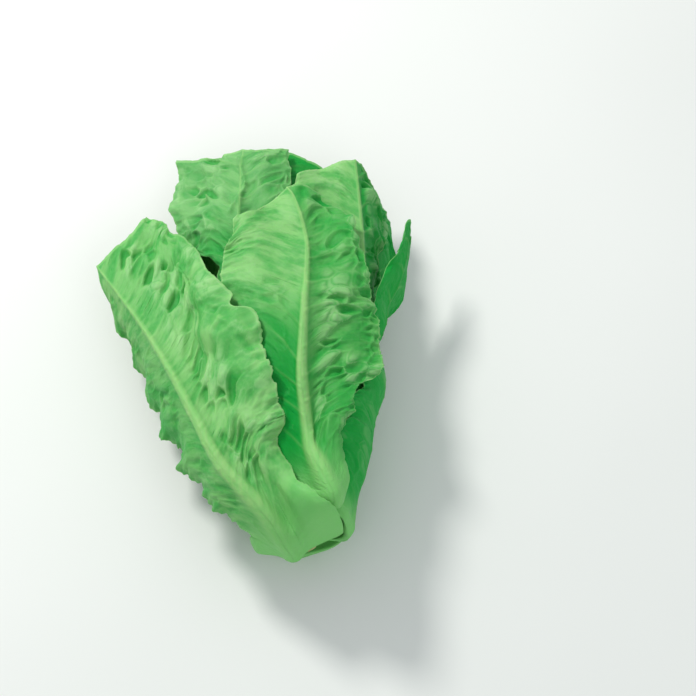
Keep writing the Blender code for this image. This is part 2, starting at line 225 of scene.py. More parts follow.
def through(values, s):
    """A smooth curve through evenly spaced values, read at s from 0 to 1."""
    values = np.asarray(values, float)
    last = len(values) - 1
    x = np.clip(s, 0.0, 1.0) * last
    i = np.minimum(x.astype(int), last - 1)
    f = x - i
    before, after = 2 * values[:1] - values[1:2], 2 * values[-1:] - values[-2:-1]
    padded = np.concatenate([before, values, after])
    a, b, c, d = (padded[i + k] for k in range(4))
    if values.ndim > 1:
        f = f[..., None]
    return 0.5 * (2 * b + (c - a) * f + (2 * a - 5 * b + 4 * c - d) * f**2 + (3 * b - a - 3 * c + d) * f**3)


def unit(v):
    return v / np.linalg.norm(v, axis=-1, keepdims=True)


def rib_line(points, s):
    """Places and directions along the rib, with s in equal steps of length."""
    dense = through(points, np.linspace(0, 1, RIB_STEPS))
    run = np.concatenate([[0.0], np.cumsum(np.linalg.norm(np.diff(dense, axis=0), axis=1))])
    run /= run[-1]
    tangents = unit(np.gradient(dense, axis=0))
    place = np.stack([np.interp(s, run, dense[:, k]) for k in range(3)], axis=-1)
    along = unit(np.stack([np.interp(s, run, tangents[:, k]) for k in range(3)], axis=-1))
    return place, along


def half_section(u, fold, bend):
    """How far a half blade runs sideways and drops, per unit of its width, when it leaves the rib
    at the angle fold and turns by bend on its way to the margin."""
    start = np.radians(fold)
    turn = np.radians(np.where(np.abs(bend) < 0.5, 0.5, bend))
    end = start + turn * u
    return (np.sin(end) - np.sin(start)) / turn, (np.cos(start) - np.cos(end)) / turn, end


def tip_back(leaf, t):
    """How far short of the tip's foremost point the tip ends at t, as a share of the leaf: blunt tips
    fall back at their corners, or in the middle if negative, and slant ones at one side."""
    rounded = leaf.blunt * t**2 if leaf.blunt > 0 else -leaf.blunt * (1 - t**2)
    return rounded + abs(leaf.slant) * (1 - math.copysign(1, leaf.slant) * t) / 2


def blade(leaf, s, t, tooth_depth=TOOTH_DEPTH, calm=0.0):
    """The middle surface of a leaf at s along it and t across it, with t from -1 at the left margin
    to 1 at the right one, seen from outside; and how far each point is from the rib."""
    u = np.abs(t)
    on_rib = s - s**3 * tip_back(leaf, t)
    place, along = rib_line(leaf.rib, on_rib)
    face = np.radians(through(leaf.face, on_rib))
    to_butt = -BASE_TURN * np.exp(-((on_rib / BASE_TURN_END) ** 2))
    outward = np.stack([np.cos(face), to_butt, np.sin(face)], axis=-1)
    outward = unit(outward - np.sum(outward * along, axis=-1, keepdims=True) * along)
    across = np.cross(along, outward)
    is_left = t < 0
    width = np.where(is_left, through(leaf.left, s), through(leaf.right, s))
    tooth = np.sin(2 * math.pi * TEETH * s + leaf.phase + 2.0 * np.sin(9 * s + leaf.phase))
    width = width * (1 + tooth_depth * tooth * u**6 * np.minimum(1.0, 4 * s))
    fold = np.where(is_left, through(leaf.fold_left, s), through(leaf.fold_right, s))
    bend = np.where(is_left, through(leaf.bend_left, s), through(leaf.bend_right, s))
    sideways, drop, angle = half_section(u, fold, bend)
    side = np.where(is_left, -1.0, 1.0)
    spread = (side * sideways * width)[..., None] * across
    normal = np.cos(angle)[..., None] * outward + (side * np.sin(angle))[..., None] * across
    rising = np.clip((s - WAVES_FROM) / WAVES_RISE, 0.0, 1.0)
    wave = np.sin(2 * math.pi * leaf.waves * s + leaf.phase + np.where(is_left, 1.9, 0.0))
    ruffle = leaf.ruffle * (1 - calm) * rising * u**2.5 * wave
    place = place + spread - (drop * width)[..., None] * outward + ruffle[..., None] * normal
    return place, width * u


def facing(place):
    """The outward direction at each point of a grid that runs along a leaf and from left to right."""
    return unit(np.cross(np.gradient(place, axis=1), np.gradient(place, axis=0)))


def rib_half_width(leaf, s):
    return leaf.rib_width * (TIP_RIB_WIDTH + (1 - TIP_RIB_WIDTH) * (1 - s) ** RIB_WIDTH_FALL)


def rib_bulge(leaf, s, distance):
    """How far the midrib stands out of the blade's outer face at a distance from its line."""
    height = leaf.rib_height * (TIP_RIB_HEIGHT + (1 - TIP_RIB_HEIGHT) * (1 - s) ** RIB_HEIGHT_FALL)
    return height * np.exp(-((distance / rib_half_width(leaf, s)) ** 2))


def widest(grid, reaches, wrap=False):
    """Each cell's largest value within the reach along each axis, round the first one's seam if wrap."""
    for axis, reach in enumerate(reaches):
        mode = "wrap" if wrap and axis == 0 else "edge"
        pad = [(0, 0), (0, 0)]
        pad[axis] = (reach, reach)
        padded = np.pad(grid, pad, mode=mode)
        n = grid.shape[axis]
        grid = np.max([np.take(padded, range(k, k + n), axis=axis) for k in range(2 * reach + 1)], axis=0)
    return grid


def blurred(grid, reaches):
    """Each cell's mean within the reach along each axis."""
    for axis, reach in enumerate(reaches):
        pad = [(0, 0), (0, 0)]
        pad[axis] = (reach, reach)
        padded = np.pad(grid, pad, mode="edge")
        n = grid.shape[axis]
        grid = np.mean([np.take(padded, range(k, k + n), axis=axis) for k in range(2 * reach + 1)], axis=0)
    return grid


class Pile:
    """How far out the head reaches so far: by angle round its axis, or by height over the surface."""

    CELL = 2.0
    CELL_ANGLE = 2.5
    LOW_X = -160.0
    SPAN_X = 320.0
    LOW_Y = BUTT_Y - 30.0
    SPAN_Y = 380.0

    def __init__(self, is_round):
        self.is_round = is_round
        columns = int(360 / self.CELL_ANGLE) if is_round else int(self.SPAN_X / self.CELL)
        self.reach = np.zeros((columns, int(self.SPAN_Y / self.CELL)))

    def cells(self, p):
        x, y, z = p[..., 0], p[..., 1], p[..., 2]
        if self.is_round:
            angle = np.degrees(np.arctan2(z - AXIS_HEIGHT, x)) % 360
            return angle / self.CELL_ANGLE, (y - self.LOW_Y) / self.CELL, np.hypot(x, z - AXIS_HEIGHT)
        return (x - self.LOW_X) / self.CELL, (y - self.LOW_Y) / self.CELL, z

    def add(self, p):
        i, j, height = (v.ravel() for v in self.cells(p))
        i = np.rint(i).astype(int)
        i = i % self.reach.shape[0] if self.is_round else np.clip(i, 0, self.reach.shape[0] - 1)
        j = np.clip(np.rint(j).astype(int), 0, self.reach.shape[1] - 1)
        np.maximum.at(self.reach, (i, j), height)

    def lift(self, p, gap):
        """How much further out each of the points has to be, evened out over the leaf."""
        i, j, height = self.cells(p)
        full = widest(self.reach, (2, 1) if self.is_round else (1, 1), self.is_round)
        i = np.rint(i).astype(int)
        i = i % full.shape[0] if self.is_round else np.clip(i, 0, full.shape[0] - 1)
        j = np.clip(np.rint(j).astype(int), 0, full.shape[1] - 1)
        short = np.where(full[i, j] > 0, full[i, j] + gap + BLADE_THICKNESS / 2 - height, 0.0)
        past_butt = np.clip((BUTT_Y - p[..., 1]) / PAST_BUTT, 0.0, 1.0)
        return blurred(widest(np.maximum(short, 0.0), EVENING), EVENING) * (1 - past_butt)

    def outward(self, p):
        if not self.is_round:
            return np.broadcast_to([0.0, 0.0, 1.0], p.shape)
        flat = p - [0.0, 0.0, AXIS_HEIGHT]
        flat[..., 1] = 0.0
        return unit(flat)


def lay_grid():
    return np.meshgrid(np.linspace(0, 1, LAY_ROWS), np.linspace(-1, 1, LAY_COLUMNS), indexing="ij")


def read_grid(grid, s, t):
    """A value of the laying grid between its lines."""
    x, y = s * (LAY_ROWS - 1), (t + 1) / 2 * (LAY_COLUMNS - 1)
    i, j = np.minimum(x.astype(int), LAY_ROWS - 2), np.minimum(y.astype(int), LAY_COLUMNS - 2)
    fx, fy = x - i, y - j
    near = grid[i, j] * (1 - fy) + grid[i, j + 1] * fy
    far = grid[i + 1, j] * (1 - fy) + grid[i + 1, j + 1] * fy
    return near * (1 - fx) + far * fx


def lay(leaf, piles):
    """Rests a leaf on the pile, and returns how far each point of its laying grid was moved out."""
    s, t = lay_grid()
    place, distance = blade(leaf, s, t)
    pile = piles[leaf.pile]
    lift = pile.lift(place, leaf.gap)
    place = place + lift[..., None] * pile.outward(place)
    outside = place + (BLADE_THICKNESS / 2 + rib_bulge(leaf, s, distance))[..., None] * facing(place)
    for each in piles.values():
        each.add(outside)
        each.add(place)
    return lift


def smooth_step(low, high, x):
    f = np.clip((x - low) / (high - low), 0.0, 1.0)
    return f * f * (3 - 2 * f)


def cells(p, q, seed):
    """Irregular cells, one near each whole place (p, q): how far inside its own cell each point is,
    0 on the line between two, and a random share of 1 for the cell."""
    random = np.random.default_rng(seed).random((CELL_COUNT, CELL_COUNT, 3))
    i, j = np.floor(p).astype(int), np.floor(q).astype(int)
    far = 9.0
    nearest, second = np.full(p.shape, far), np.full(p.shape, far)
    share = np.zeros(p.shape)
    for a in (i - 1, i, i + 1):
        for b in (j - 1, j, j + 1):
            middle = random[a % CELL_COUNT, b % CELL_COUNT]
            away_p = a + CELL_MARGIN + CELL_SPREAD * middle[..., 0] - p
            away_q = b + CELL_MARGIN + CELL_SPREAD * middle[..., 1] - q
            distance = np.hypot(away_p, away_q)
            second = np.minimum(second, np.maximum(nearest, distance))
            share = np.where(distance < nearest, middle[..., 2], share)
            nearest = np.minimum(nearest, distance)
    return second - nearest, share


def wander(x, y, size, seed):
    """A smooth random field between about -1 and 1 that changes over the size."""
    random = np.random.default_rng(seed)
    total = np.zeros(np.broadcast(x, y).shape)
    for _ in range(6):
        heading, phase, pace = random.random(3)
        heading *= 2 * math.pi
        step = (x * math.cos(heading) + y * math.sin(heading)) / size * (0.6 + 0.9 * pace)
        total += np.sin(2 * math.pi * (step + phase))
    return total / 3.5


def saw(run, seed):
    """Irregular teeth that lean the way run grows, one to each whole step of it, up to 1 deep."""
    depth = np.random.default_rng(seed).random(128)
    run = run + 0.35 * np.sin(1.7 * run + seed) + 0.25 * np.sin(3.9 * run)
    step = np.floor(run).astype(int)
    return (0.25 + 0.75 * depth[step % 128]) * (1 - (run - step)) ** 1.3


def rib_length(leaf):
    dense = through(leaf.rib, np.linspace(0, 1, RIB_STEPS))
    return float(np.sum(np.linalg.norm(np.diff(dense, axis=0), axis=1)))


def by_side(t, left, right):
    return np.where(t < 0, left, right)


def half_width(leaf, s, t):
    return by_side(t, through(leaf.left, s), through(leaf.right, s))


def lobe_sizes(look, s, t):
    """How far apart the margin's lobes are, how deep they are at s, and how deep at the tip."""
    gap, at_base, at_tip = (by_side(t, left, right) for left, right in zip(*look.lobes))
    return gap, at_base + (at_tip - at_base) * smooth_step(*LOBES_CHANGE, s), at_tip


def trimmed(leaf, look, s, t, seed):
    """Where on its leaf each grid point lies once the margin is cut: lobes, teeth, rounded corners
    of the tip and torn places. A deep cut draws in more of the blade, so that its grid stays open."""
    length = rib_length(leaf)
    width = half_width(leaf, s, t)
    run = s * length
    gap, depth, tip_depth = lobe_sizes(look, s, t)
    turn = np.pi * run / gap + leaf.phase + 0.8 * np.sin(run / 23.0 + seed) + by_side(t, -0.7, 0.7)
    depth = depth * (0.75 + 0.35 * np.sin(run / 17.0 + 2.0 * seed))
    lobes = depth * (1 - np.abs(np.sin(turn)) ** 0.6)
    teeth = look.teeth * saw(run / TOOTH_GAP + by_side(t, 27, 53), seed) * np.clip(depth / 1.5, 0.3, 1.0)
    cut = (lobes + teeth - 0.35 * depth - 0.3 * look.teeth) * np.minimum(1.0, 8 * s) / width
    for cut_side, middle, half, share in look.cuts:
        here = share * np.exp(-np.abs((s - middle) / half) ** 3)
        cut = cut + np.where(by_side(t, -1, 1) == cut_side, here, 0.0)
    corner = by_side(t, *look.corner)
    cut = cut + corner * smooth_step(CORNER_FROM, 1.0, s) ** 1.5
    reach = np.clip(0.8 / np.maximum(cut, 0.02) - 1, 0.3, 7.0)
    across = t * width
    end_teeth = 0.7 * look.teeth * saw(across / TOOTH_GAP + 60, seed + 1)
    end_lobes = 0.5 * tip_depth * (0.5 + 0.5 * wander(across, 0 * across, 30.0, seed + 2))
    end = (end_teeth + end_lobes) * (1 - smooth_step(0.7, 0.9, np.abs(t)))
    rounded = corner * width * np.abs(t) ** 3 * 0.6 + look.blunt * (1 - t**2)
    return s - s**8 * (end + rounded) / length, t * (1 - cut * np.abs(t) ** reach)


def crease_height(leaf, look, s, t):
    """How far folds lift or sink the blade. Each runs straight between two places on the leaf."""
    length = rib_length(leaf)
    x, y = t * half_width(leaf, s, t), s * length
    total = np.zeros(s.shape)
    for s0, t0, s1, t1, height, breadth in look.creases:
        ends = []
        for place_s, place_t in ((s0, t0), (s1, t1)):
            half = half_width(leaf, np.array([place_s]), np.array([place_t]))[0]
            ends.append((place_t * half, place_s * length))
        (x0, y0), (x1, y1) = ends
        run_x, run_y = x1 - x0, y1 - y0
        share = np.clip(((x - x0) * run_x + (y - y0) * run_y) / (run_x**2 + run_y**2), 0.0, 1.0)
        away = np.hypot(x - x0 - share * run_x, y - y0 - share * run_y)
        total += height * np.exp(-np.abs(away / breadth) ** 1.5)
    return total


def shown_rib(leaf, look, s, distance):
    """The midrib's height over the blade, and how much of each point's colour is the rib's."""
    half = rib_half_width(leaf, s) * through(look.rib_share, s)
    ridge = rib_bulge(leaf, s, 0.0) * np.exp(-((distance / (1.1 * half)) ** 2))
    height = BROAD_RIB * rib_bulge(leaf, s, distance) + NARROW_RIB * ridge
    return height, look.rib_tint * np.exp(-((distance / half) ** 4))


def lateral_veins(leaf, s, t, x, y, seed):
    """Each point's place in the order of the lateral veins, whole on a vein, and how strongly it is
    part of one. The veins fade on their way to the margin."""
    u = np.abs(t)
    slope = VEIN_SLOPE[0] + (VEIN_SLOPE[1] - VEIN_SLOPE[0]) * s
    rise = slope * half_width(leaf, s, t) * (u - VEIN_BEND * u**2)
    stretch = np.sqrt(1 + (slope * (1 - 2 * VEIN_BEND * u)) ** 2)
    drift = VEIN_DRIFT * wander(x, y, VEIN_DRIFT_SIZE, seed)
    order = (y - rise) / VEIN_GAP + by_side(t, -0.25, 0.25) + drift + leaf.phase
    apart = np.abs(order - np.round(order)) * VEIN_GAP / stretch
    return order, np.exp(-((apart / (0.9 - 0.4 * u)) ** 2)) * (1 - smooth_step(0.1, 0.75, u))


def blistered(kind, p, q, side, shift, reach, seed):
    """Blisters of one kind: how far each point stands up or sinks, and how much it is on a ridge."""
    inside, share = cells(
        p / kind.across + kind.drift[0] * shift,
        side * (q / kind.along + kind.start + kind.drift[1] * shift),
        seed + kind.seed,
    )
    rank = np.where(share > kind.raised, 0.2 + kind.up * share, -0.2 - kind.down * share)
    ridge = np.exp(-((inside / RIDGE_BREADTH) ** 2)) * reach * (0.3 + kind.ridge * share)
    return rank * smooth_step(0.0, BLISTER_EDGE, inside) * reach, ridge


def tissue(leaf, look, s, t, seed):
    """The blade's own relief at s and t: the height of its sheet, the height of the veins on its
    outer face, how strongly each point is a vein and a hollow, and its place between the veins.
    Long blisters lie from rib to margin between the veins, and small ones along the margin."""
    u = np.abs(t)
    side = by_side(t, -1.0, 1.0)
    pucker = by_side(t, *look.pucker)
    x, y = u * half_width(leaf, s, t), s * rib_length(leaf)
    order, main_vein = lateral_veins(leaf, s, t, x, y, seed)
    p, q = order * VEIN_GAP / VEIN_RUN, x * VEIN_RUN
    shift = wander(x, y, 22.0, seed + 3)
    base = smooth_step(0.1, 0.3, s)
    near_margin = smooth_step(0.6, 0.9, u)
    patchy = np.clip(0.85 + 0.7 * wander(x, y, 34.0, seed + 7), 0.15, 1.3)
    long_reach = smooth_step(0.06, 0.28, u) * (1 - 0.85 * near_margin) * base * patchy
    small_reach = near_margin * (1 - 0.35 * smooth_step(0.92, 1.0, u)) * base * (0.4 + 0.6 * patchy)
    long, long_ridge = blistered(LONG_BLISTERS, p, q, side, shift, long_reach, seed)
    small, small_ridge = blistered(SMALL_BLISTERS, p, q, side, shift, small_reach, seed)
    ridges = long_ridge + small_ridge
    swell = SWELL_HEIGHT * base * smooth_step(0.15, 0.6, u) * wander(x, y, SWELL_SIZE, seed + 6)
    sheet = LONG_BLISTERS.height * long + SMALL_BLISTERS.height * small + RIDGE_HEIGHT * ridges
    sheet = pucker * (sheet + swell)
    gap, depth, _ = lobe_sizes(look, s, t)
    ripple = np.sin(2 * math.pi * y / gap + seed) + 0.5 * np.sin(5.1 * math.pi * y / gap + 2.0 * seed)
    sheet = sheet + look.frill * (0.2 + 0.3 * depth) * base * smooth_step(0.72, 1.0, u) * ripple
    # The hollow mark: positive in sunk blisters, where the material paints shade, and negative on raised
    # blisters and ridges, where it paints a highlight.
    sunk = np.clip(np.maximum(-long, -small), 0.0, 1.0)
    crest = np.maximum(0.6 * ridges, np.maximum(long, small))
    hollow = np.minimum(pucker, 1.0) * (sunk - 0.9 * crest)
    return sheet, VEIN_HEIGHT * main_vein * base, main_vein, hollow, order


def painted_shade_depth(look, s, t):
    """How much painted shade deepens the blade's green, from 0 to 1, turning from one side's to the other's
    at the rib.
    """
    left, right = through(look.tone[0], s), through(look.tone[1], s)
    return np.clip(left + (right - left) * smooth_step(-0.12, 0.12, t), 0.0, 1.0)


def shown_leaf(leaf, look, lift, piles, seed):
    """The finer leaf: a closed mesh whose points keep how strongly they are rib, vein, hollow and
    margin, how much painted shade they take, and how far along and across the leaf they are."""
    rows, columns = look.grid
    grid_s, grid_t = np.meshgrid(np.linspace(0, 1, rows), np.linspace(-1, 1, columns), indexing="ij")
    s, t = trimmed(leaf, look, grid_s, grid_t, seed)
    calm = by_side(t, *look.calm) * smooth_step(0.45, 0.7, s)
    place, distance = blade(leaf, s, t, 0.0, calm)
    if look.even:
        upper = smooth_step(0.45, 0.65, np.linspace(0, 1, LAY_ROWS))[:, None]
        lift = upper * lift + (1 - upper) * blurred(lift, look.even)
    raise_by = read_grid(lift, s, np.clip(t, -1.0, 1.0))
    place = place + raise_by[..., None] * piles[leaf.pile].outward(place)
    normal = unit(np.stack([blurred(n, (2, 2)) for n in np.moveaxis(facing(place), -1, 0)], axis=-1))
    sheet, raised, vein, hollow, order = tissue(leaf, look, s, t, seed)
    sheet = sheet + crease_height(leaf, look, s, t)
    rim = smooth_step(0.8, 1.0, np.maximum(np.abs(grid_t), smooth_step(0.9, 1.0, grid_s)))
    half = (BLADE_THICKNESS - (BLADE_THICKNESS - MARGIN_THICKNESS) * rim) / 2
    bulge, rib = shown_rib(leaf, look, s, distance)
    outer = place + (sheet + half + bulge + raised)[..., None] * normal
    inner = place + (sheet - half)[..., None] * normal
    sunk = np.maximum(0.0, -outer[..., 2])
    outer[..., 2] += sunk
    inner[..., 2] = np.maximum(inner[..., 2] + sunk, 0.0)
    # The deep mark is how much painted shade each point takes where the leaf lies in shade.
    marks = {
        "rib": rib, "vein": vein, "hollow": hollow, "margin": rim, "along": s,
        "order": CREASES_BETWEEN * order, "across": np.abs(t), "deep": painted_shade_depth(look, s, t),
    }
    made = add_piece(leaf.name + "_shown", *sheet_solid(outer, inner), bpy.data.materials[look.material])
    for name, values in marks.items():
        add_mark(made, name, np.tile(values.ravel(), 2))
    return made


def sheet_solid(outer, inner):
    """A closed mesh of four-sided faces between two grids of points."""
    rows, columns = outer.shape[:2]
    count = rows * columns
    index = np.arange(count).reshape(rows, columns)
    a, b, c, d = index[:-1, :-1], index[:-1, 1:], index[1:, 1:], index[1:, :-1]
    outside = np.stack([a, b, c, d], axis=-1).reshape(-1, 4)
    rim = np.concatenate([index[0], index[1:, -1], index[-1, -2::-1], index[-2:0:-1, 0]])
    after = np.roll(rim, -1)
    side = np.stack([after, rim, rim + count, after + count], axis=-1)
    faces = np.concatenate([outside, outside[:, ::-1] + count, side])
    return np.concatenate([outer.reshape(-1, 3), inner.reshape(-1, 3)]), faces.tolist()


def add_object(name, data):
    made = bpy.data.objects.new(name, data)
    bpy.context.scene.collection.objects.link(made)
    return made


def add_piece(name, points, faces, material):
    mesh = bpy.data.meshes.new(name)
    mesh.from_pydata((np.asarray(points) * MM).tolist(), [], faces)
    mesh.materials.append(material)
    mesh.shade_smooth()
    return add_object(name, mesh)


def add_mark(piece, name, values):
    """Keeps a value for each point of a piece, for its material to read by name."""
    attribute = piece.data.attributes.new(name, "FLOAT", "POINT")
    attribute.data.foreach_set("value", np.asarray(values, dtype=np.float32))


def linear(red, green, blue):
    """A colour given as it looks on a screen, from 0 to 255, as the shader takes it."""
    shares = [c / 255 for c in (red, green, blue)]
    return (*[c / 12.92 if c <= 0.04045 else ((c + 0.055) / 1.055) ** 2.4 for c in shares], 1.0)


class Nodes:
    """A material's node tree, with short calls for the nodes that the leaves use."""

    def __init__(self, name):
        self.material = bpy.data.materials.new(name)
        self.material.use_nodes = True
        self.tree = self.material.node_tree
        self.shader = self.tree.nodes["Principled BSDF"]

    def link(self, value, socket):
        """Gives a socket another node's output, or a fixed value."""
        if isinstance(value, bpy.types.NodeSocket):
            self.tree.links.new(value, socket)
        else:
            socket.default_value = value

    def mark(self, name):
        """What each point of the piece keeps under this name."""
        node = self.tree.nodes.new("ShaderNodeAttribute")
        node.attribute_name = name
        return node.outputs["Fac"]

    def noise_at(self, vector, scale, detail):
        node = self.tree.nodes.new("ShaderNodeTexNoise")
        node.inputs["Scale"].default_value = scale
        node.inputs["Detail"].default_value = detail
        self.tree.links.new(vector, node.inputs["Vector"])
        return node.outputs["Fac"]

    def noise(self, scale, detail=3.0, stretch=(1.0, 1.0, 1.0)):
        """A noise over the piece's own space, in metres."""
        place = self.tree.nodes.new("ShaderNodeTexCoord")
        scaled = self.tree.nodes.new("ShaderNodeMapping")
        scaled.inputs["Scale"].default_value = stretch
        self.tree.links.new(place.outputs["Object"], scaled.inputs["Vector"])
        return self.noise_at(scaled.outputs["Vector"], scale, detail)

    def along_veins(self, scale, detail):
        """A noise drawn out along the veins."""
        vector = self.tree.nodes.new("ShaderNodeCombineXYZ")
        self.link(self.mark("order"), vector.inputs["X"])
        self.link(self.math("MULTIPLY", self.mark("across"), 5.0), vector.inputs["Y"])
        return self.noise_at(vector.outputs["Vector"], scale, detail)

    def span(self, value, low, high, to_low=0.0, to_high=1.0):
        """A soft step from to_low to to_high while the value goes from low to high."""
        node = self.tree.nodes.new("ShaderNodeMapRange")
        node.interpolation_type = "SMOOTHSTEP"
        for socket, number in zip(("From Min", "From Max", "To Min", "To Max"), (low, high, to_low, to_high)):
            node.inputs[socket].default_value = number
        self.link(value, node.inputs["Value"])
        return node.outputs["Result"]

    def math(self, operation, a, b=0.0):
        node = self.tree.nodes.new("ShaderNodeMath")
        node.operation = operation
        self.link(a, node.inputs[0])
        self.link(b, node.inputs[1])
        return node.outputs[0]

    def mix(self, share, a, b):
        """A mix of two colours. On this node they are the inputs 6 and 7, and the output 2."""
        node = self.tree.nodes.new("ShaderNodeMix")
        node.data_type = "RGBA"
        self.link(share, node.inputs["Factor"])
        self.link(a, node.inputs[6])
        self.link(b, node.inputs[7])
        return node.outputs[2]

    def bump(self, height, depth, before=None):
        """Small relief, depth millimetres deep, on top of the one before it."""
        node = self.tree.nodes.new("ShaderNodeBump")
        node.inputs["Distance"].default_value = depth * MM
        self.link(height, node.inputs["Height"])
        if before is not None:
            self.link(before, node.inputs["Normal"])
        return node.outputs["Normal"]

    def glow(self, weight, radius, reach):
        """Light that passes through the flesh, up to reach millimetres for a radius of 1."""
        self.shader.inputs["Subsurface Weight"].default_value = weight
        self.shader.inputs["Subsurface Radius"].default_value = radius
        self.shader.inputs["Subsurface Scale"].default_value = reach * MM


def leaf_material(name, greens, rib_colour, base_colour, shade_colour):
    """Fresh leaf: a blade of two greens in patches along its veins, with fine creases, a thin pale margin,
    a pale rib and a base of its own colour. Painted shade darkens its hollows, creases and wrinkle grooves
    and the parts that its tone values mark as lying in shade, and a painted highlight lightens
    its crests."""
    n = Nodes(name)
    light, deep, rib_colour, base_colour, shade_colour, highlight_colour, margin_colour = (
        linear(*c) for c in (*greens, rib_colour, base_colour, shade_colour, HIGHLIGHT_COLOUR, MARGIN_COLOUR)
    )
    patches = n.span(n.along_veins(0.42, 3.0), 0.4, 0.62)
    colour = n.mix(patches, light, deep)
    specks = n.span(n.noise(380.0, 2.0), 0.4, 0.7, 0.0, 0.22)
    colour = n.mix(specks, colour, light)
    wrinkles = n.along_veins(1.15, 4.0)
    past_base = n.span(n.mark("along"), 0.1, 0.3)
    # Painted shade: the fine wrinkles' grooves, the sunk blisters and the fine creases are darkened towards
    # the shade colour.
    sunk = n.math("MULTIPLY", past_base, n.span(wrinkles, 0.48, 0.34, 0.0, 0.18))
    colour = n.mix(sunk, colour, shade_colour)
    colour = n.mix(n.span(n.mark("hollow"), 0.0, 1.0, 0.0, 0.62), colour, shade_colour)
    crease = crease_lines(n)
    colour = n.mix(n.math("MULTIPLY", crease, 0.3), colour, shade_colour)
    # Painted shade where the leaf lies in shade, as much as its deep mark says.
    colour = n.mix(n.mark("deep"), colour, shade_colour)
    # Painted highlight on raised blisters and ridges.
    colour = n.mix(n.span(n.mark("hollow"), -0.1, -0.75, 0.0, 0.46), colour, highlight_colour)
    colour = n.mix(n.math("MULTIPLY", n.mark("vein"), 0.2), colour, rib_colour)
    colour = n.mix(n.span(n.mark("margin"), 0.96, 1.0, 0.0, 0.35), colour, margin_colour)
    fibres = n.noise(60.0, 3.0, (6.0, 0.5, 6.0))
    rib_tint = n.mix(n.span(fibres, 0.35, 0.65, 0.0, 0.5), rib_colour, base_colour)
    colour = n.mix(n.mark("rib"), colour, rib_tint)
    colour = n.mix(n.span(n.mark("along"), 0.02, 0.22, 0.9, 0.0), colour, base_colour)
    n.link(colour, n.shader.inputs["Base Color"])
    n.link(n.span(n.noise(90.0, 3.0), 0.3, 0.7, 0.48, 0.62), n.shader.inputs["Roughness"])
    small = n.bump(n.math("SUBTRACT", 1.0, crease), 0.3)
    small = n.bump(wrinkles, 0.8, small)
    n.link(n.bump(n.noise(420.0, 3.0), 0.16, small), n.shader.inputs["Normal"])
    n.link(0.14, n.shader.inputs["Specular IOR Level"])
    n.glow(0.25, (0.4, 1.0, 0.25), 1.5)


def crease_lines(n):
    """Fine creases that run with the veins, over the inner half of the blade past its base."""
    apart = n.math("PINGPONG", n.mark("order"), 0.5)
    off_rib = n.span(n.mark("across"), 0.04, 0.12)
    inner = n.math("MULTIPLY", off_rib, n.span(n.mark("across"), 0.25, 0.5, 1.0, 0.0))
    upper = n.math("MULTIPLY", inner, n.span(n.mark("along"), 0.15, 0.4))
    broken = n.math("MULTIPLY", upper, n.span(n.noise(70.0, 3.0), 0.48, 0.66))
    return n.math("MULTIPLY", n.span(apart, 0.0, 0.11, 1.0, 0.0), broken)


def stem_material():
    """The cut stem: pale flesh, browned where its mark says so."""
    n = Nodes("stem_cut")
    fresh, yellowed = (linear(*c) for c in STEM_COLOURS)
    colour = n.mix(n.span(n.noise(120.0, 4.0), 0.35, 0.65), fresh, yellowed)
    colour = n.mix(n.span(n.mark("rib"), 0.0, 1.0, 0.0, 0.75), colour, linear(*STEM_BROWN))
    n.link(colour, n.shader.inputs["Base Color"])
    n.link(n.span(n.noise(200.0, 3.0), 0.3, 0.7, 0.45, 0.65), n.shader.inputs["Roughness"])
    n.link(n.bump(n.noise(500.0, 4.0), 0.3), n.shader.inputs["Normal"])
    n.glow(0.2, (0.8, 1.0, 0.4), 2.0)
    return n.material


def heart_leaf(n):
    """One of the tight leaves of the heart, the innermost first, each a golden turn from the last."""
    angle = 20.0 + GOLDEN_TURN * n
    towards = math.cos(math.radians(angle)), math.sin(math.radians(angle))
    start, end = BUTT_Y + 60.0 - 8.0 * n, 62.0 + 15.0 * n
    reach = (7.0, 10.0 + 1.0 * n, 11.0 + 1.4 * n, 12.0 + 1.6 * n, 9.0 + 1.6 * n)
    ys = np.linspace(start, end, len(reach))
    rib = [(r * towards[0], y, AXIS_HEIGHT + r * towards[1]) for r, y in zip(reach, ys)]
    size = 0.76 + 0.07 * n
    width = [w * size for w in (9, 20, 29, 33, 29, 24)]
    curl = [66, 84, 92, 92, 84, 70]
    return Leaf(
        f"heart_leaf_{n + 1}", rib, [angle, angle], width, width, [4, 4], curl, [4, 4], curl,
        0.12, 1.2, 4.0, 1.3 * n, 1.6, 6.0, "round", HEART_GAP,
    )


